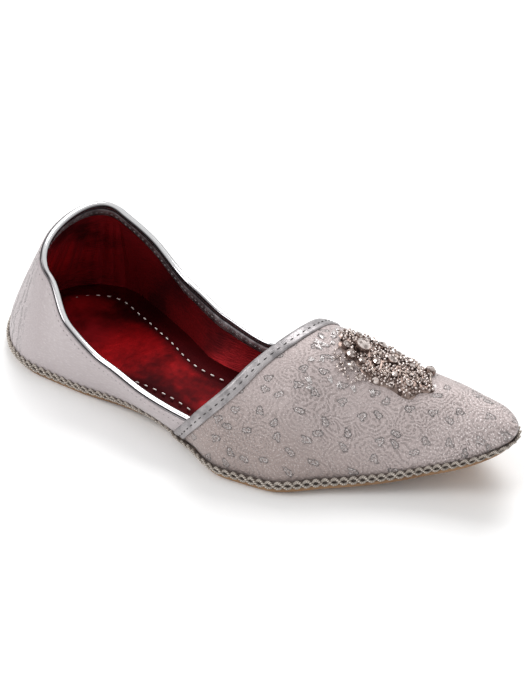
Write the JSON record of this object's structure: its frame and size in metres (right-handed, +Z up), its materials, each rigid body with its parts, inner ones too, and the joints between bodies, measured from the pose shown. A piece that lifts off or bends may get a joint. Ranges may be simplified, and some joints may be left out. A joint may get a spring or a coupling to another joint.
{
  "type": "mojari shoe",
  "caption": "Slip-on mojari shoe for the right foot: pointed brocade vamp over low quarters, bound collar, braided edge, beaded ornament and thin leather sole.",
  "frame": {"origin": "middle of the footprint's bounding box, on the floor", "axes": "+X from heel to toe, +Y to the inner side of the foot, +Z up"},
  "size_m": [0.2568, 0.0904, 0.0611],
  "materials": {
    "sole_leather": "plain tan leather, cut edge",
    "lining_satin": "crimson satin",
    "brocade": "silver-grey brocade with a woven scroll",
    "silver_leather": "silver-foiled leather",
    "silver_braid": "dull silver zigzag braid",
    "beadwork": "clear stones, sequins and silver wire"
  },
  "bodies": {
    "root": {"outsole": "sole_leather", "insole": "lining_satin", "upper": "brocade", "collar_binding": "silver_leather", "vamp_binding": "silver_leather", "edge_braid": "silver_braid", "ornament": "beadwork"}
  },
  "joints": []
}
